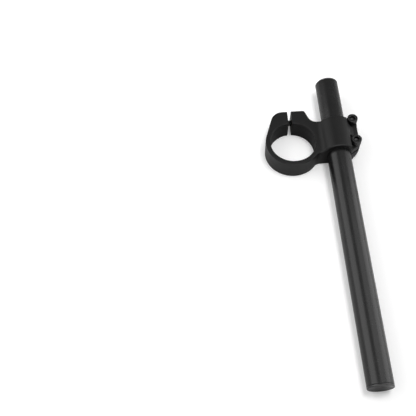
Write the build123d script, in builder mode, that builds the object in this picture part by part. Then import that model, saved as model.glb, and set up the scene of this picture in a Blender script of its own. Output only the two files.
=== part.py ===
from build123d import *
from math import acos, asin, atan2, cos, degrees, hypot, radians, sin, sqrt, tan
import os

# Clip-on handlebar: a split fork clamp that carries a straight bar at its side.
# The origin is on the fork tube's axis, on the clamp's flat underside, with +Z up the fork tube.
# The bar lies along Y at +X. Its long grip end points to -Y and its short end to +Y.
# All sizes are in millimetres and all angles in degrees.

# Fork ring and its pinch lugs
FORK_DIAMETER = 43.0
RING_WALL = 4.5
PLATE_HEIGHT = 20.0
SLIT_WIDTH = 3.5
PINCH_SCREW_GAP = 7.5        # fork tube's surface to the pinch screw's axis
LUG_BACK_WALL = 7.0          # pinch screw's axis to the flat back of the lugs
OUTER_LUG_FACING = 161.0     # direction that the outer lug's side faces, seen from above
OUTER_LUG_ROUND = 11.5
PINCH_HEAD_INSET = 16.0      # ring's outer side to the seat of the pinch screw's head
INNER_LUG_WIDTH = 13.0       # slit to the corner on the bar's side
INNER_LUG_SLOPE = 70.0       # slope of the inner lug's side
INNER_LUG_ROUND = 3.0

# Bar
BAR_DIAMETER = 22.0
BAR_WALL = 2.5
BAR_LENGTH = 301.0
BAR_SHORT_END = 65.0         # middle of the sleeve to the tube's short end
BAR_DROP = 0.7               # the bar slopes down towards its grip end
BAR_CLEARANCE = 0.02         # radial, in the clamped sleeve

# Sleeve that holds the bar, and its neck to the ring
BAR_TO_FORK_GAP = 9.5        # fork tube's surface to the bar's surface
SLEEVE_WALL = 5.0            # over the bar
SLEEVE_FLOOR = 3.0           # under the bar
SLEEVE_LENGTH = 36.0
SLEEVE_SHIFT = 4.0           # middle of the sleeve, towards the short end
NECK_FRONT_FILLET = 7.0
NECK_REAR_FILLET = 8.0
HUMP_RING_FILLET = 8.0
HUMP_REAR_SETBACK = 1.5      # the hump ends this far before the rear edge of the plate
HUMP_END_CHAMFER = 0.8

# Clamping ears
EAR_SCREW_GAP = 5.5          # bar's surface to the axis of the clamp screws
EAR_SCREW_PITCH = 24.0
EAR_SHIFT = 3.0              # middle of the ears from the middle of the sleeve, towards the short end
EAR_LOBE_RADIUS = 4.75
EAR_WAIST_DEPTH = 0.9
EAR_ROOT = 11.5              # bar's axis to the corners where the ears begin to narrow
SAW_CUT_WIDTH = 2.0
SAW_CUT_HEIGHT = 13.0        # middle of the saw cut above the underside
EAR_RELIEF_WIDTH = 7.0       # bevel under the lower ear
EAR_RELIEF_HEIGHT = 8.0

# Socket head cap screws
SCREW_DIAMETER = 6.0
SCREW_HEAD_DIAMETER = 10.0
SCREW_HEAD_HEIGHT = 6.0
SCREW_SOCKET_FLATS = 5.0
SCREW_SOCKET_DEPTH = 3.0
SCREW_EDGE_CHAMFER = 0.5
EAR_SCREW_LENGTH = 16.0
PINCH_SCREW_LENGTH = 20.0
SCREW_HOLE_CLEARANCE = 0.3   # radial, in the plain holes
THREAD_CLEARANCE = 0.02      # radial, in the tapped holes
HEAD_CLEARANCE = 0.5         # radial, from a head to the wall beside it
TAPPED_HOLE_RUNOUT = 2.0     # blind hole beyond the screw's tip

# End plugs
PLUG_FLANGE = 1.5            # thickness outside the tube
PLUG_RIM_WIDTH = 1.0         # flat rim around the dished face
PLUG_DISH_DEPTH = 1.6
PLUG_DISH_FLOOR = 2.5        # radius of the flat middle of the dish
PLUG_WEB = 2.0               # behind the middle of the dish
PLUG_EDGE_CHAMFER = 0.4
PLUG_STEM_LENGTH = 14.0
PLUG_STEM_WALL = 2.0
PLUG_FIN_COUNT = 2
PLUG_FIN_DEPTH = 0.8
PLUG_CLEARANCE = 0.02        # radial, fins in the tube

EDGE_CHAMFER = 0.5

# Sizes that follow from the ones above
fork_radius = FORK_DIAMETER / 2
ring_radius = fork_radius + RING_WALL
bar_radius = BAR_DIAMETER / 2
bar_bore_radius = bar_radius - BAR_WALL
sleeve_radius = bar_radius + SLEEVE_WALL
screw_radius = SCREW_DIAMETER / 2
head_radius = SCREW_HEAD_DIAMETER / 2

pinch_y = fork_radius + PINCH_SCREW_GAP
pinch_z = PLATE_HEIGHT / 2
lug_back = pinch_y + LUG_BACK_WALL
pinch_seat_x = PINCH_HEAD_INSET - ring_radius
bar_x = fork_radius + BAR_TO_FORK_GAP + bar_radius
bar_z = bar_radius + SLEEVE_FLOOR
ear_screw_x = bar_x + bar_radius + EAR_SCREW_GAP
ear_edge_x = ear_screw_x + EAR_LOBE_RADIUS
ear_seat_x = ear_screw_x - head_radius - HEAD_CLEARANCE
sleeve_front = SLEEVE_SHIFT - SLEEVE_LENGTH / 2
sleeve_rear = SLEEVE_SHIFT + SLEEVE_LENGTH / 2
ear_middle = SLEEVE_SHIFT + EAR_SHIFT
ear_screw_front = ear_middle - EAR_SCREW_PITCH / 2
ear_screw_rear = ear_middle + EAR_SCREW_PITCH / 2
past_all = 2 * (bar_z + sleeve_radius)     # a cut this long runs out of the clamp

# The bar's own plane: its Z runs out along the bar to the grip end, its Y points up
bar_plane = Plane(
    origin=(bar_x, SLEEVE_SHIFT, bar_z),
    x_dir=(1, 0, 0),
    z_dir=(0, -cos(radians(BAR_DROP)), -sin(radians(BAR_DROP))),
)

# Screw seats: Z points out of the head
front_seat = Plane((ear_screw_x, ear_screw_front, PLATE_HEIGHT))
rear_seat = Plane((ear_screw_x, ear_screw_rear, PLATE_HEIGHT))
pinch_seat = Plane((pinch_seat_x, pinch_y, pinch_z), x_dir=(0, 1, 0), z_dir=(-1, 0, 0))


def half_section(seat):
    """The plane through a seat's axis, with X outwards from the axis and Y along it."""
    return Plane(origin=seat.origin, x_dir=seat.x_dir, z_dir=-seat.y_dir)


os.makedirs("parts", exist_ok=True)

# Plan of the neck, sleeve and ears: a round lobe at each screw, with a shallow waist between them
half_pitch = EAR_SCREW_PITCH / 2
waist_offset = EAR_LOBE_RADIUS - EAR_WAIST_DEPTH
waist_radius = (half_pitch**2 + waist_offset**2 - EAR_LOBE_RADIUS**2) / (2 * EAR_WAIST_DEPTH)
waist_angle = degrees(asin(half_pitch / (waist_radius + EAR_LOBE_RADIUS)))
root_x = bar_x + EAR_ROOT
root_run = ear_screw_x - root_x


def lobe_end(root_rise):
    """Where the line from an ear's root meets its lobe, as an angle from the X axis."""
    return degrees(atan2(root_rise, -root_run) - acos(EAR_LOBE_RADIUS / hypot(root_run, root_rise)))


rear_end = lobe_end(sleeve_rear - ear_screw_rear)
front_end = lobe_end(ear_screw_front - sleeve_front)

with BuildSketch() as arm:
    with BuildLine():
        rear_lobe = CenterArc(
            (ear_screw_x, ear_screw_rear), EAR_LOBE_RADIUS, -waist_angle, waist_angle + rear_end
        )
        front_lobe = CenterArc(
            (ear_screw_x, ear_screw_front), EAR_LOBE_RADIUS, -front_end, waist_angle + front_end
        )
        ThreePointArc(front_lobe @ 1, (ear_screw_x + waist_offset, ear_middle), rear_lobe @ 0)
        Polyline(
            rear_lobe @ 1,
            (root_x, sleeve_rear),
            (0, sleeve_rear),
            (0, sleeve_front),
            (root_x, sleeve_front),
            front_lobe @ 0,
        )
    make_face()

# Plan of the whole clamp: the ring, its two pinch lugs and the arm, less the fork bore and the slit
facing = radians(OUTER_LUG_FACING)
outer_lug_foot = (ring_radius * cos(facing), ring_radius * sin(facing))
outer_lug_corner = ((ring_radius - lug_back * sin(facing)) / cos(facing), lug_back)
inner_lug_corner = (SLIT_WIDTH / 2 + INNER_LUG_WIDTH, lug_back)
inner_lug_run = 1 / tan(radians(INNER_LUG_SLOPE))
inner_lug_foot = (inner_lug_corner[0] + lug_back * inner_lug_run, 0)
neck_rear_corner = (inner_lug_foot[0] - sleeve_rear * inner_lug_run, sleeve_rear)
neck_front_corner = (sqrt(ring_radius**2 - sleeve_front**2), sleeve_front)

with BuildSketch() as plan:
    Circle(ring_radius)
    with BuildLine():
        Polyline((0, 0), outer_lug_foot, outer_lug_corner, (0, lug_back), close=True)
    make_face()
    with BuildLine():
        Polyline((0, 0), (0, lug_back), inner_lug_corner, inner_lug_foot, close=True)
    make_face()
    add(arm.sketch)
    fillet(plan.vertices().sort_by_distance(outer_lug_corner)[0], OUTER_LUG_ROUND)
    fillet(plan.vertices().sort_by_distance(inner_lug_corner)[0], INNER_LUG_ROUND)
    fillet(plan.vertices().sort_by_distance(neck_rear_corner)[0], NECK_REAR_FILLET)
    fillet(plan.vertices().sort_by_distance(neck_front_corner)[0], NECK_FRONT_FILLET)
    Circle(fork_radius, mode=Mode.SUBTRACT)
    with Locations((0, lug_back)):
        Rectangle(SLIT_WIDTH, 2 * lug_back, mode=Mode.SUBTRACT)

# Hump over the bar: a concave fillet runs down to the ring, and a step drops to the ears
hump_rise = PLATE_HEIGHT - bar_z
hump_half_width = sqrt(sleeve_radius**2 - hump_rise**2)
fillet_run = sqrt((sleeve_radius + HUMP_RING_FILLET) ** 2 - (hump_rise + HUMP_RING_FILLET) ** 2)
hump_start = bar_x - fillet_run - EDGE_CHAMFER
hump_run = ear_seat_x - hump_start

with BuildPart() as hump:
    with BuildSketch(Plane.XZ.offset(-sleeve_front)) as hump_profile:
        with Locations((bar_x, bar_z)):
            Circle(sleeve_radius)
        with Locations((hump_start, PLATE_HEIGHT / 2)):
            Rectangle(hump_run, past_all, align=(Align.MIN, Align.MIN), mode=Mode.INTERSECT)
            Rectangle(hump_run, PLATE_HEIGHT / 2, align=(Align.MIN, Align.MIN))
        ring_foot = (bar_x - hump_half_width, PLATE_HEIGHT)
        fillet(hump_profile.vertices().sort_by_distance(ring_foot)[0], HUMP_RING_FILLET)
    extrude(amount=HUMP_REAR_SETBACK - SLEEVE_LENGTH)
    end_edges = hump.faces().filter_by(Axis.Y).edges()
    upper_edges = hump.faces().filter_by(lambda face: face.normal_at().Z > 0.01).edges()
    chamfer(end_edges & upper_edges, HUMP_END_CHAMFER)
    extrude(plan.sketch, amount=past_all, mode=Mode.INTERSECT)

# Clamp body: the plate with the hump on it, then everything that is cut from them
with BuildPart() as clamp_body:
    extrude(plan.sketch, amount=PLATE_HEIGHT)
    chamfer(clamp_body.faces().filter_by(Axis.Z).edges(), EDGE_CHAMFER)
    add(hump.part)

    # Bar bore, and the saw cut that parts the ears
    with BuildSketch(bar_plane):
        Circle(bar_radius + BAR_CLEARANCE)
    extrude(amount=SLEEVE_LENGTH, both=True, mode=Mode.SUBTRACT)
    with BuildSketch(Plane.XZ.offset(-SLEEVE_SHIFT)):
        with Locations((bar_x, SAW_CUT_HEIGHT)):
            Rectangle(past_all, SAW_CUT_WIDTH, align=(Align.MIN, Align.CENTER))
    extrude(amount=SLEEVE_LENGTH, both=True, mode=Mode.SUBTRACT)

    # Bevel under the lower ear
    with BuildSketch(Plane.XZ.offset(-SLEEVE_SHIFT)):
        with BuildLine():
            Polyline(
                (ear_edge_x - EAR_RELIEF_WIDTH, 0),
                (ear_edge_x + EAR_RELIEF_WIDTH, 2 * EAR_RELIEF_HEIGHT),
                (ear_edge_x + EAR_RELIEF_WIDTH, 0),
                close=True,
            )
        make_face()
    extrude(amount=SLEEVE_LENGTH, both=True, mode=Mode.SUBTRACT)

    # Clamp screws: a plain hole above the saw cut, a tapped one below
    for seat in (front_seat, rear_seat):
        with BuildSketch(seat):
            Circle(screw_radius + SCREW_HOLE_CLEARANCE)
        extrude(amount=SAW_CUT_HEIGHT - PLATE_HEIGHT, mode=Mode.SUBTRACT)
        with BuildSketch(seat):
            Circle(screw_radius + THREAD_CLEARANCE)
        extrude(amount=-PLATE_HEIGHT, mode=Mode.SUBTRACT)

    # Pinch screw: a sunk head and a plain hole in the outer lug, a blind tapped hole in the inner lug
    with BuildSketch(pinch_seat):
        Circle(head_radius + HEAD_CLEARANCE)
    extrude(amount=ring_radius, mode=Mode.SUBTRACT)
    with BuildSketch(pinch_seat):
        Circle(screw_radius + SCREW_HOLE_CLEARANCE)
    extrude(amount=pinch_seat_x, mode=Mode.SUBTRACT)
    with BuildSketch(pinch_seat):
        Circle(screw_radius + THREAD_CLEARANCE)
    extrude(amount=-PINCH_SCREW_LENGTH - TAPPED_HOLE_RUNOUT, mode=Mode.SUBTRACT)
clamp_body.part.label = "clamp_body"
export_step(clamp_body.part, "parts/clamp_body.step")

# Bar: a plain tube
inner_end = bar_plane.offset(-BAR_SHORT_END)
outer_end = bar_plane.offset(BAR_LENGTH - BAR_SHORT_END)

with BuildPart() as handlebar_tube:
    with BuildSketch(inner_end):
        Circle(bar_radius)
        Circle(bar_bore_radius, mode=Mode.SUBTRACT)
    extrude(amount=BAR_LENGTH)
    outside = handlebar_tube.faces().sort_by(SortBy.AREA)[-1]
    chamfer(outside.edges().filter_by(GeomType.CIRCLE), EDGE_CHAMFER)
handlebar_tube.part.label = "handlebar_tube"
export_step(handlebar_tube.part, "parts/handlebar_tube.step")

# End plugs: a dished head as wide as the tube, on a hollow stem with sawtooth fins
fin_radius = bar_bore_radius - PLUG_CLEARANCE
stem_radius = fin_radius - PLUG_FIN_DEPTH
stem_bore_radius = stem_radius - PLUG_STEM_WALL
fin_pitch = PLUG_STEM_LENGTH / PLUG_FIN_COUNT
rim_radius = bar_radius - PLUG_RIM_WIDTH
dish_floor = PLUG_FLANGE - PLUG_DISH_DEPTH
fin_points = []
for fin in range(PLUG_FIN_COUNT):
    fin_start = fin * fin_pitch - PLUG_STEM_LENGTH
    fin_points.append((stem_radius, fin_start))
    fin_points.append((fin_radius, fin_start + fin_pitch / 2))
    fin_points.append((fin_radius, fin_start + fin_pitch))

inner_seat = Plane(inner_end.origin, x_dir=inner_end.x_dir, z_dir=-inner_end.z_dir)

for name, seat in (("end_plug_outer", outer_end), ("end_plug_inner", inner_seat)):
    with BuildPart() as end_plug:
        with BuildSketch(half_section(seat)):
            with BuildLine():
                Polyline(
                    (0, dish_floor - PLUG_WEB),
                    (stem_bore_radius, dish_floor - PLUG_WEB),
                    (stem_bore_radius, -PLUG_STEM_LENGTH),
                    *fin_points,
                    (bar_radius, 0),
                    (bar_radius, PLUG_FLANGE - PLUG_EDGE_CHAMFER),
                    (bar_radius - PLUG_EDGE_CHAMFER, PLUG_FLANGE),
                    (rim_radius, PLUG_FLANGE),
                    (PLUG_DISH_FLOOR, dish_floor),
                    (0, dish_floor),
                    close=True,
                )
            make_face()
        revolve(axis=Axis(seat.origin, seat.z_dir))
    end_plug.part.label = name
    export_step(end_plug.part, f"parts/{name}.step")

# Socket head cap screws
screws = (
    ("bar_clamp_screw_front", front_seat, EAR_SCREW_LENGTH),
    ("bar_clamp_screw_rear", rear_seat, EAR_SCREW_LENGTH),
    ("fork_pinch_screw", pinch_seat, PINCH_SCREW_LENGTH),
)

for name, seat, length in screws:
    with BuildPart() as screw:
        with BuildSketch(half_section(seat)):
            with BuildLine():
                Polyline(
                    (0, -length),
                    (screw_radius - SCREW_EDGE_CHAMFER, -length),
                    (screw_radius, SCREW_EDGE_CHAMFER - length),
                    (screw_radius, 0),
                    (head_radius, 0),
                    (head_radius, SCREW_HEAD_HEIGHT - SCREW_EDGE_CHAMFER),
                    (head_radius - SCREW_EDGE_CHAMFER, SCREW_HEAD_HEIGHT),
                    (0, SCREW_HEAD_HEIGHT),
                    close=True,
                )
            make_face()
        revolve(axis=Axis(seat.origin, seat.z_dir))
        with BuildSketch(seat.offset(SCREW_HEAD_HEIGHT)):
            RegularPolygon(SCREW_SOCKET_FLATS / 2, 6, major_radius=False)
        extrude(amount=-SCREW_SOCKET_DEPTH, mode=Mode.SUBTRACT)
    screw.part.label = name
    export_step(screw.part, f"parts/{name}.step")
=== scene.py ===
import math

import bmesh
import bpy
from mathutils import Matrix, Vector


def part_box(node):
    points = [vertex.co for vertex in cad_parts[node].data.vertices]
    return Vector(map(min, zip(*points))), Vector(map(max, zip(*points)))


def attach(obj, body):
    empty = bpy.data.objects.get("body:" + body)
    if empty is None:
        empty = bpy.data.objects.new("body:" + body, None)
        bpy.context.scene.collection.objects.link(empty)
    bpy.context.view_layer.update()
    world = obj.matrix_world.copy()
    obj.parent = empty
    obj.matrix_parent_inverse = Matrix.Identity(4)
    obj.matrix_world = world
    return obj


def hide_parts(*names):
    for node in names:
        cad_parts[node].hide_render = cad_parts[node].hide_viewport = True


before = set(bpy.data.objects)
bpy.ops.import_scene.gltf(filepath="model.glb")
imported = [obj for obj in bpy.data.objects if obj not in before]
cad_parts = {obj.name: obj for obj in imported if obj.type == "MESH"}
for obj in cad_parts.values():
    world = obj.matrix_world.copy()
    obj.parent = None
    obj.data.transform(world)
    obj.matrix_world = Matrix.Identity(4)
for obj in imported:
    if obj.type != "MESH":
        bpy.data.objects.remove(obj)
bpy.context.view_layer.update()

# The CAD nodes get their finishes here. The screws are cut finer than their solids, and the flank
# of the sleeve between the clamp screws is added. All lengths are in metres.
MM = 0.001

# Camera: the photograph's viewpoint in the part's own frame, with its angles in degrees
CAMERA_AT = (-0.0837, -0.3576, 0.5358)
CAMERA_PITCH = 60.53
CAMERA_ROLL = 3.79
CAMERA_YAW = 0.16
CAMERA_NEAREST = 0.01
FOCAL_PX = 659.7
IMAGE_PX = 416
SENSOR_MM = 36.0

# White paper under the part
FLOOR_SIZE = 12.0
FLOOR_DEPTH = 0.0001         # keeps the paper just under the part
FLOOR_ALBEDO = 0.85
FLOOR_FIBRE_SCALE = 900.0
FLOOR_FIBRE_DETAIL = 3.0
FLOOR_FIBRE_SWING = 0.01     # of the albedo, up and down
FLOOR_LIFT = 0.22            # keeps the paper white to the camera where nothing shades it
FLOOR_FADE = (0.45, 1.2)     # between these distances from the part the paper fades to plain white

# Painted reflection: the paper's albedo as only the part's gloss shows it, and a brighter painted albedo to
# the right of the bar's grip
PAINTED_REFLECTION_ALBEDO = 0.58
PAINTED_REFLECTION_ALBEDO_AT_GRIP = 0.90
PAINTED_REFLECTION_FADE_ACROSS = (0.045, 0.060)
PAINTED_REFLECTION_FADE_ALONG = (-0.03, -0.07)

# Surroundings: the soft light, and what the part's gloss shows above the horizon
AMBIENT_WAY = (-0.7, 0.7, 0.0)   # the soft light is strongest from behind on the left
AMBIENT_LOW = 0.10
AMBIENT_HIGH = 0.85
CEILING_NEAR = 0.52          # above the camera
CEILING_FAR = 0.26           # behind the part
CEILING_FADE = (0.2, 0.6)    # it darkens over this range of a direction's share along the bar
HORIZON_HEIGHT = 0.05        # the white backdrop ends at this upward share of a direction

# Lights: each aims at the bar, some way along it. One may show in gloss, or light matt surfaces.
AIM_ACROSS = 0.04
AIM_HEIGHT = 0.03
LIGHTS = (
    dict(name="right_softbox", place=(0.85, 0.09, 0.36), aim_along=0.09, width=0.80, height=0.75,
         radiance=1.75, in_gloss=True, on_matt=False),
    dict(name="left_softbox", place=(-0.80, 0.20, 0.55), aim_along=0.20, width=1.00, height=0.95,
         radiance=1.4, in_gloss=True, on_matt=True),
    dict(name="top_softbox", place=(0.40, 0.20, 1.10), aim_along=0.20, width=0.70, height=0.90,
         radiance=1.0, in_gloss=True, on_matt=True),
    dict(name="front_softbox", place=(0.04, -1.05, 0.62), aim_along=-0.08, width=1.50, height=0.70,
         radiance=1.7, in_gloss=True, on_matt=False),
    dict(name="key_light", place=(0.18, -0.08, 1.00), aim_along=-0.08, width=0.28, height=0.28,
         radiance=17.0, in_gloss=False, on_matt=True),
)

# Finishes: the grain is stretched along the bar, and wear is how far an edge lightens, partly rubbed and
# partly a painted edge highlight
CLAMP_FINISH = dict(base=0.006, roughness=0.42, specular=0.32, grain_scale=2600.0, grain_depth=0.03 * MM)
BAR_FINISH = dict(base=0.006, roughness=0.26, specular=0.5, grain_scale=1500.0, grain_depth=0.007 * MM,
                  stretch=(1.0, 0.06, 1.0), grain_sheen=0.01)
PLUG_FINISH = dict(base=0.010, roughness=0.32, specular=0.7, grain_scale=1500.0, grain_depth=0.03 * MM,
                   rub_and_highlight=0.15)
SCREW_FINISH = dict(base=0.005, roughness=0.22, specular=0.65, grain_scale=3500.0, grain_depth=0.01 * MM)
# A darker, duller copy of the screw's finish: painted shade in the hexagon sockets
SOCKET_PAINTED_SHADE_FINISH = dict(base=0.003, roughness=0.22, specular=0.2, grain_scale=3500.0, grain_depth=0.01 * MM)

# What all finishes share
GRAIN_DETAIL = 4.0
GRAIN_STRENGTH = 0.25
CLOUD_SCALE = 70.0
CLOUD_DETAIL = 5.0
CLOUD_TONE_SWING = 0.12      # share of the base tone, up and down
CLOUD_SHEEN_SWING = 0.03     # of the roughness, up and down
NOISE_SPAN = (0.3, 0.7)      # most of a noise lies between these values
EDGE_RADIUS = 0.4 * MM
EDGE_SAMPLES = 6
EDGE_FACING = (0.985, 0.86)  # from a face to an edge: how well the true and rounded normals agree
EDGE_RUB_AND_HIGHLIGHT_SPAN = (0.35, 0.65)     # where the clouds leave the edges plain, and where they lighten them most, rubbed and partly a painted edge highlight
EDGE_RUB_AND_HIGHLIGHT_TONE = 6.0              # times the base tone, for the rubbed and painted-highlight edges

# Turning marks in the fork bore
BORE_RADIUS = 21.5 * MM
BORE_REACH = 0.3 * MM        # how far behind the bore's wall the marks end
BORE_RING_SCALE = 800.0
BORE_RING_DETAIL = 2.0
BORE_RING_RELIEF = 8.0       # times the grain's depth
BORE_DULLNESS = 0.12         # added to the roughness
BORE_SHINE = 0.6             # share of the gloss that is left

# Flank of the sleeve between the seats of its clamp screws
SLEEVE_ACROSS = 42.0 * MM    # the sleeve's axis
SLEEVE_HEIGHT = 14.0 * MM
SLEEVE_RADIUS = 16.05 * MM   # lies just over the solid's own surface
STEP_ACROSS = 53.0 * MM      # where the solid drops to the ears
FLANK_ACROSS = 52.0 * MM     # where the flank begins
FLANK_TUCK = 0.15 * MM       # its first edge lies this deep in the solid
FLANK_HOLLOW = 4.0 * MM      # radius of the hollow curve at its foot
FLANK_FOOT = 19.97 * MM
FLANK_FLOOR = 19.5 * MM      # out of sight in the ears
FLANK_STEPS = 24
FLANK_ROWS = 12
FLANK_SHARP = 30.0           # edges above this angle stay sharp, in degrees
SEAT_ACROSS = 58.5 * MM
SEAT_RADIUS = 7.0 * MM
SEATS_ALONG = (-5.0 * MM, 19.0 * MM)

# Socket head cap screws: the CAD node, the way its head points, how far it was turned in degrees
SCREWS = (
    dict(node="bar_clamp_screw_front", head_way=(0, 0, 1), turned=14.0),
    dict(node="bar_clamp_screw_rear", head_way=(0, 0, 1), turned=41.0),
    dict(node="fork_pinch_screw", head_way=(-1, 0, 0), turned=8.0),
)
SCREW_SEGMENTS = 72          # two for each knurl tooth
HEAD_RADIUS = 5.0 * MM
HEAD_HEIGHT = 6.0 * MM
HEAD_CHAMFER = 0.5 * MM
HEAD_FOOT = 0.3 * MM         # chamfer at the underside of the head
KNURL_TEETH = 36
KNURL_DEPTH = 0.18 * MM
KNURL_RUNOUT = 0.25 * MM
SOCKET_FLATS = 5.0 * MM
SOCKET_DEPTH = 3.0 * MM
SOCKET_LEAD_IN = 0.35 * MM
SOCKET_MOUTH_MARGIN = SOCKET_LEAD_IN / 4     # from the hexagon's corners to the edge of the mouth
SOCKET_FLOOR_RADIUS = 2.1 * MM
SOCKET_DRILL_POINT = 0.7 * MM
THREAD_RADIUS = 3.0 * MM
THREAD_DEPTH = 0.55 * MM
THREAD_PITCH = 1.0 * MM
THREAD_STEPS = 8             # rows of faces for each turn
THREAD_CREST = 0.12          # share of the pitch that is flat at the crest
THREAD_FLANK = 0.63          # share of the pitch that the flanks take


def add_camera():
    pitch = math.radians(CAMERA_PITCH)
    roll = math.radians(CAMERA_ROLL)
    forward = Vector((0, math.cos(pitch), -math.sin(pitch)))
    right = Vector((1, 0, 0))
    down = Vector((0, -math.sin(pitch), -math.cos(pitch)))
    x_axis = math.cos(roll) * right + math.sin(roll) * down
    y_axis = math.sin(roll) * right - math.cos(roll) * down
    turn = Matrix((x_axis, y_axis, -forward)).transposed().to_4x4()
    yaw = Matrix.Rotation(math.radians(CAMERA_YAW), 4, "Z")
    data = bpy.data.cameras.new("camera")
    data.sensor_width = SENSOR_MM
    data.lens = FOCAL_PX / IMAGE_PX * SENSOR_MM
    data.clip_start = CAMERA_NEAREST
    camera = bpy.data.objects.new("camera", data)
    camera.matrix_world = Matrix.Translation(CAMERA_AT) @ yaw @ turn
    bpy.context.collection.objects.link(camera)
    bpy.context.scene.camera = camera


class Nodes:
    """A short way to write a node tree."""

    def __init__(self, tree):
        self.tree = tree
        tree.nodes.clear()

    def join(self, value, socket):
        if isinstance(value, bpy.types.NodeSocket):
            self.tree.links.new(value, socket)
        else:
            socket.default_value = value

    def add(self, kind, inputs=None, **settings):
        node = self.tree.nodes.new(kind)
        for name, value in settings.items():
            setattr(node, name, value)
        for name, value in (inputs or {}).items():
            self.join(value, node.inputs[name])
        return node

    def place(self):
        return self.add("ShaderNodeTexCoord").outputs["Object"]

    def parts(self, vector):
        return self.add("ShaderNodeSeparateXYZ", {0: vector}).outputs

    def number(self, operation, first, second):
        return self.add("ShaderNodeMath", {0: first, 1: second}, operation=operation).outputs[0]

    def length(self, vector):
        return self.add("ShaderNodeVectorMath", {0: vector}, operation="LENGTH").outputs["Value"]

    def dot(self, first, second):
        node = self.add("ShaderNodeVectorMath", {0: first, 1: second}, operation="DOT_PRODUCT")
        return node.outputs["Value"]

    def scaled(self, vector, factors):
        node = self.add("ShaderNodeVectorMath", {0: vector, 1: factors}, operation="MULTIPLY")
        return node.outputs[0]

    def ramp(self, value, low, high, out_low=0.0, out_high=1.0):
        ends = {0: value, 1: low, 2: high, 3: out_low, 4: out_high}
        return self.add("ShaderNodeMapRange", ends).outputs[0]

    def mix(self, factor, first, second):
        return self.add("ShaderNodeMix", {0: factor, 2: first, 3: second}).outputs[0]

    def mix_color(self, factor, first, second):
        node = self.add("ShaderNodeMix", {0: factor, 6: first, 7: second}, data_type="RGBA")
        return node.outputs[2]

    def noise(self, vector, scale, detail):
        inputs = {"Vector": vector, "Scale": scale, "Detail": detail}
        return self.add("ShaderNodeTexNoise", inputs).outputs[0]

    def mirrored(self, path):
        """1 for a ray that left a shiny or clear surface."""
        return self.number("MAXIMUM", path.outputs["Is Glossy Ray"], path.outputs["Is Transmission Ray"])


def new_material(name):
    material = bpy.data.materials.new(name)
    material.use_nodes = True
    return material, Nodes(material.node_tree)


def grey(level):
    return (level, level, level, 1.0)


def add_floor():
    """White paper that stays white where nothing shades it, and keeps the part's shadow. The part's gloss
    sees it with a painted reflection albedo.
    """
    bpy.ops.mesh.primitive_plane_add(size=FLOOR_SIZE, location=(0, 0, -FLOOR_DEPTH))
    floor = bpy.context.object
    floor.name = "floor"
    material, nodes = new_material("floor_paper")
    path = nodes.add("ShaderNodeLightPath")
    place = nodes.place()
    whiteness = nodes.ramp(nodes.length(place), *FLOOR_FADE, FLOOR_LIFT, 1.0)
    lift = nodes.number("MULTIPLY", path.outputs["Is Camera Ray"], whiteness)
    fibre = nodes.noise(place, FLOOR_FIBRE_SCALE, FLOOR_FIBRE_DETAIL)
    darkest = grey(FLOOR_ALBEDO - FLOOR_FIBRE_SWING)
    lightest = grey(FLOOR_ALBEDO + FLOOR_FIBRE_SWING)
    shade = nodes.mix_color(fibre, darkest, lightest)
    parts = nodes.parts(place)
    # Painted reflection: to the part's gloss the paper shows a dimmer albedo, and a brighter one to the
    # right of the bar's grip
    across = nodes.ramp(parts["X"], *PAINTED_REFLECTION_FADE_ACROSS)
    along = nodes.ramp(parts["Y"], *PAINTED_REFLECTION_FADE_ALONG)
    painted_reflection_at_grip = nodes.number("MULTIPLY", across, along)
    in_gloss = nodes.mix_color(painted_reflection_at_grip, grey(PAINTED_REFLECTION_ALBEDO), grey(PAINTED_REFLECTION_ALBEDO_AT_GRIP))
    shade = nodes.mix_color(nodes.mirrored(path), shade, in_gloss)
    paper = nodes.add("ShaderNodeBsdfDiffuse", {"Color": shade})
    glow = nodes.add("ShaderNodeEmission", {"Color": grey(1.0), "Strength": lift})
    both = nodes.add("ShaderNodeAddShader", {0: paper.outputs[0], 1: glow.outputs[0]})
    nodes.add("ShaderNodeOutputMaterial", {"Surface": both.outputs[0]})
    floor.data.materials.append(material)


def add_world():
    """White to the camera. Gloss shows a white horizon and a dim ceiling, and soft light is behind."""
    world = bpy.data.worlds.new("studio")
    world.use_nodes = True
    nodes = Nodes(world.node_tree)
    path = nodes.add("ShaderNodeLightPath")
    direction = nodes.add("ShaderNodeTexCoord").outputs["Generated"]
    parts = nodes.parts(direction)
    ambient = nodes.ramp(nodes.dot(direction, AMBIENT_WAY), -1.0, 1.0, AMBIENT_LOW, AMBIENT_HIGH)
    ceiling = nodes.ramp(parts["Y"], *CEILING_FADE, CEILING_NEAR, CEILING_FAR)
    in_gloss = nodes.ramp(parts["Z"], 0.0, HORIZON_HEIGHT, 1.0, ceiling)
    light = nodes.mix(nodes.mirrored(path), ambient, in_gloss)
    level = nodes.number("MAXIMUM", light, path.outputs["Is Camera Ray"])
    sky = nodes.add("ShaderNodeBackground", {"Color": grey(1.0), "Strength": level})
    nodes.add("ShaderNodeOutputWorld", {"Surface": sky.outputs[0]})
    bpy.context.scene.world = world


def add_light(name, place, aim_along, width, height, radiance, in_gloss, on_matt):
    data = bpy.data.lights.new(name, "AREA")
    data.shape = "RECTANGLE"
    data.size = width
    data.size_y = height
    data.energy = radiance * math.pi * width * height
    lamp = bpy.data.objects.new(name, data)
    lamp.location = place
    aim = Vector((AIM_ACROSS, aim_along, AIM_HEIGHT)) - Vector(place)
    lamp.rotation_euler = aim.to_track_quat("-Z", "Y").to_euler()
    lamp.visible_glossy = in_gloss
    lamp.visible_diffuse = on_matt
    bpy.context.collection.objects.link(lamp)


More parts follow.
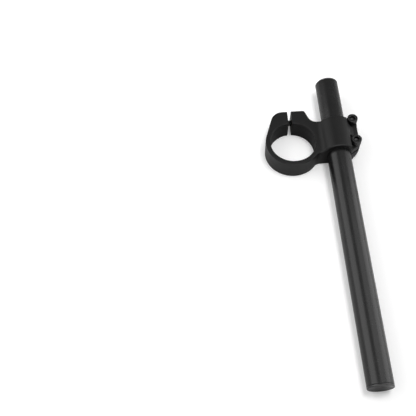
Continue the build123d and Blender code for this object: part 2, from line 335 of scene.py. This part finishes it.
def bore_marks(nodes, place, height, rough, shine):
    """Fine rings from the lathe take the place of the grain in the fork bore, and dull it a little."""
    from_axis = nodes.length(nodes.scaled(place, (1.0, 1.0, 0.0)))
    in_bore = nodes.ramp(from_axis, BORE_RADIUS + BORE_REACH, BORE_RADIUS)
    along_axis = nodes.scaled(place, (0.0, 0.0, 1.0))
    rings = nodes.noise(along_axis, BORE_RING_SCALE, BORE_RING_DETAIL)
    height = nodes.mix(in_bore, height, nodes.number("MULTIPLY", rings, BORE_RING_RELIEF))
    rough = nodes.number("ADD", rough, nodes.number("MULTIPLY", in_bore, BORE_DULLNESS))
    return height, rough, nodes.mix(in_bore, shine, shine * BORE_SHINE)


def satin_black(name, base, roughness, specular, grain_scale, grain_depth, stretch=(1.0, 1.0, 1.0),
                grain_sheen=0.04, rub_and_highlight=0.5, marks=None):
    """Black finish on metal or plastic: fine grain, cloudy sheen and slightly lighter edges, partly rubbed
    and partly a painted edge highlight.
    """
    material, nodes = new_material(name)
    place = nodes.place()
    grain = nodes.noise(nodes.scaled(place, stretch), grain_scale, GRAIN_DETAIL)
    cloud = nodes.noise(place, CLOUD_SCALE, CLOUD_DETAIL)

    true_normal = nodes.add("ShaderNodeNewGeometry").outputs["Normal"]
    round_normal = nodes.add("ShaderNodeBevel", {"Radius": EDGE_RADIUS}, samples=EDGE_SAMPLES).outputs[0]
    edge = nodes.ramp(nodes.dot(true_normal, round_normal), *EDGE_FACING)
    # Edges lighten where the clouds allow: partly rubbing, partly a painted edge highlight
    rubbed_and_highlit = nodes.number("MULTIPLY", edge, nodes.ramp(cloud, *EDGE_RUB_AND_HIGHLIGHT_SPAN, 0.0, rub_and_highlight))

    darkest = grey(base * (1 - CLOUD_TONE_SWING))
    lightest = grey(base * (1 + CLOUD_TONE_SWING))
    tone = nodes.mix_color(nodes.ramp(cloud, *NOISE_SPAN), darkest, lightest)
    # Painted edge highlight mixed with rubbing: the edges take a lighter tone
    tone = nodes.mix_color(rubbed_and_highlit, tone, grey(base * EDGE_RUB_AND_HIGHLIGHT_TONE))

    smoothest = roughness - CLOUD_SHEEN_SWING
    roughest = roughness + CLOUD_SHEEN_SWING
    cloud_sheen = nodes.ramp(cloud, *NOISE_SPAN, smoothest, roughest)
    rough = nodes.number("ADD", nodes.ramp(grain, *NOISE_SPAN, -grain_sheen, grain_sheen), cloud_sheen)

    height = grain
    shine = specular
    if marks:
        height, rough, shine = marks(nodes, place, height, rough, shine)
    relief = {"Strength": GRAIN_STRENGTH, "Distance": grain_depth, "Height": height, "Normal": round_normal}
    bump = nodes.add("ShaderNodeBump", relief).outputs[0]
    looks = {"Base Color": tone, "Roughness": rough, "Specular IOR Level": shine, "Normal": bump}
    surface = nodes.add("ShaderNodeBsdfPrincipled", looks)
    nodes.add("ShaderNodeOutputMaterial", {"Surface": surface.outputs[0]})
    return material


def dress(node, material):
    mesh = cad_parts[node].data
    mesh.materials.clear()
    mesh.materials.append(material)


def bridge(mesh, rows):
    """Faces from each closed row of vertices to the next."""
    for first, second in zip(rows, rows[1:]):
        for step in range(len(first)):
            after = (step + 1) % len(first)
            mesh.faces.new((first[step], first[after], second[after], second[step]))


def new_piece(name, mesh, material):
    data = bpy.data.meshes.new(name)
    mesh.to_mesh(data)
    mesh.free()
    data.materials.append(material)
    piece = bpy.data.objects.new(name, data)
    bpy.context.collection.objects.link(piece)
    return piece


def flank_profile():
    """The sleeve's round flank and the hollow at its foot, as points across the bar."""
    hollow_height = FLANK_FOOT + FLANK_HOLLOW
    reach = SLEEVE_RADIUS + FLANK_HOLLOW
    run = math.sqrt(reach**2 - (hollow_height - SLEEVE_HEIGHT)**2)
    foot = SLEEVE_ACROSS + run
    touch = SLEEVE_ACROSS + run * SLEEVE_RADIUS / reach
    points = []
    for step in range(FLANK_STEPS + 1):
        across = FLANK_ACROSS + (foot - FLANK_ACROSS) * step / FLANK_STEPS
        if across < touch:
            height = SLEEVE_HEIGHT + math.sqrt(SLEEVE_RADIUS**2 - (across - SLEEVE_ACROSS)**2)
        else:
            height = hollow_height - math.sqrt(FLANK_HOLLOW**2 - (foot - across)**2)
        points.append((across, height - (FLANK_TUCK if step == 0 else 0.0)))
    return points


def add_ear_flank(material):
    """The sleeve's flank runs down to the ears between the round seats of the two clamp screws."""
    mesh = bmesh.new()
    rows = []
    for row in range(FLANK_ROWS + 1):
        upper = []
        lower = []
        for across, height in flank_profile():
            beside = max(across, STEP_ACROSS) - SEAT_ACROSS
            seat = math.sqrt(SEAT_RADIUS**2 - beside**2)
            front = SEATS_ALONG[0] + seat
            rear = SEATS_ALONG[1] - seat
            along = front + (rear - front) * row / FLANK_ROWS
            upper.append(mesh.verts.new((across, along, height)))
            lower.append(mesh.verts.new((across, along, FLANK_FLOOR)))
        rows.append(upper + lower[::-1])
    bridge(mesh, rows)
    for row in (rows[0], rows[-1]):
        for step in range(FLANK_STEPS):
            mesh.faces.new((row[step], row[step + 1], row[-step - 2], row[-step - 1]))
    bmesh.ops.recalc_face_normals(mesh, faces=mesh.faces)
    for face in mesh.faces:
        face.smooth = True
    for edge in mesh.edges:
        edge.smooth = edge.calc_face_angle() < math.radians(FLANK_SHARP)

    flank = new_piece("ear_flank", mesh, material)
    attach(flank, "root")


def knurl_radius(turn):
    return HEAD_RADIUS - KNURL_DEPTH * (0.5 - 0.5 * math.cos(KNURL_TEETH * turn))


def socket_radius(turn):
    """Distance from the axis to a wall of the hexagon."""
    sixth = math.pi / 3
    return SOCKET_FLATS / 2 / math.cos(turn % sixth - sixth / 2)


def thread_radius(turn, height):
    """A 60 degree thread with flat crests and roots."""
    phase = (height / THREAD_PITCH - turn / (2 * math.pi)) % 1
    fall = (abs(2 * phase - 1) - THREAD_CREST) / THREAD_FLANK
    return THREAD_RADIUS - THREAD_DEPTH * min(1.0, max(0.0, fall))


def add_row(mesh, radius_at, height):
    """One closed row of vertices around the screw's axis."""
    row = []
    for step in range(SCREW_SEGMENTS):
        turn = 2 * math.pi * step / SCREW_SEGMENTS
        radius = radius_at(turn)
        row.append(mesh.verts.new((radius * math.cos(turn), radius * math.sin(turn), height)))
    return row


def plain(radius):
    return lambda turn: radius


def screw_rows(mesh, length):
    """The screw's rows of vertices, from the tip of its thread round to the floor of its socket."""
    thread_root = THREAD_RADIUS - THREAD_DEPTH
    rows = [add_row(mesh, plain(thread_root), -length)]
    for step in range(1, round(length / THREAD_PITCH * THREAD_STEPS)):
        height = step * THREAD_PITCH / THREAD_STEPS - length
        rows.append(add_row(mesh, lambda turn: thread_radius(turn, height), height))
    socket_mouth = SOCKET_FLATS / math.sqrt(3) + SOCKET_MOUTH_MARGIN
    knurl_top = HEAD_HEIGHT - HEAD_CHAMFER
    profile = (
        (plain(thread_root), 0.0),
        (plain(HEAD_RADIUS - HEAD_FOOT), 0.0),
        (knurl_radius, HEAD_FOOT),
        (knurl_radius, knurl_top - KNURL_RUNOUT),
        (plain(HEAD_RADIUS - KNURL_DEPTH), knurl_top),
        (plain(HEAD_RADIUS - HEAD_CHAMFER), HEAD_HEIGHT),
        (plain(socket_mouth), HEAD_HEIGHT),
        (socket_radius, HEAD_HEIGHT - SOCKET_LEAD_IN),
        (socket_radius, HEAD_HEIGHT - SOCKET_DEPTH),
        (plain(SOCKET_FLOOR_RADIUS), HEAD_HEIGHT - SOCKET_DEPTH),
    )
    for radius_at, height in profile:
        rows.append(add_row(mesh, radius_at, height))
    return rows


def add_screw(node, head_way, turned, material, socket_shade_material):
    """A cap screw with a knurled head, a hexagon socket and a cut thread, in the CAD screw's place."""
    low, high = (Vector(corner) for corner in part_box(node))
    way = Vector(head_way)
    whole_length = abs((high - low).dot(way))
    seat = (low + high) / 2 + way * (whole_length / 2 - HEAD_HEIGHT)

    mesh = bmesh.new()
    rows = screw_rows(mesh, whole_length - HEAD_HEIGHT)
    bridge(mesh, rows)
    mesh.faces.new(reversed(rows[0]))
    drill_point = mesh.verts.new((0, 0, HEAD_HEIGHT - SOCKET_DEPTH - SOCKET_DRILL_POINT))
    for step in range(SCREW_SEGMENTS):
        after = (step + 1) % SCREW_SEGMENTS
        mesh.faces.new((rows[-1][step], rows[-1][after], drill_point))

    # The socket's walls and floor are darker and duller than the head, as painted shade in the recess, but
    # its drill point is not
    socket_shade_verts = {*rows[-3], *rows[-2], *rows[-1]}
    for face in mesh.faces:
        face.material_index = int(socket_shade_verts.issuperset(face.verts))

    screw = new_piece(f"{node}_cut", mesh, material)
    screw.data.materials.append(socket_shade_material)
    upright = way.to_track_quat("Z", "Y").to_matrix().to_4x4()
    twist = Matrix.Rotation(math.radians(turned), 4, "Z")
    screw.data.transform(Matrix.Translation(seat) @ upright @ twist)
    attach(screw, "root")
    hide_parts(node)


add_camera()
add_floor()
add_world()
for light in LIGHTS:
    add_light(**light)

clamp_finish = satin_black("clamp_anodised", marks=bore_marks, **CLAMP_FINISH)
dress("clamp_body", clamp_finish)
add_ear_flank(clamp_finish)
dress("handlebar_tube", satin_black("bar_anodised", **BAR_FINISH))
plug_finish = satin_black("plug_plastic", **PLUG_FINISH)
for plug in ("end_plug_outer", "end_plug_inner"):
    dress(plug, plug_finish)
screw_finish = satin_black("screw_black_oxide", **SCREW_FINISH)
# Painted shade in the screws' sockets
socket_painted_shade_finish = satin_black("screw_socket_painted_shade", **SOCKET_PAINTED_SHADE_FINISH)
for screw in SCREWS:
    add_screw(**screw, material=screw_finish, socket_shade_material=socket_painted_shade_finish)

view = bpy.context.scene.view_settings
view.view_transform = "Standard"
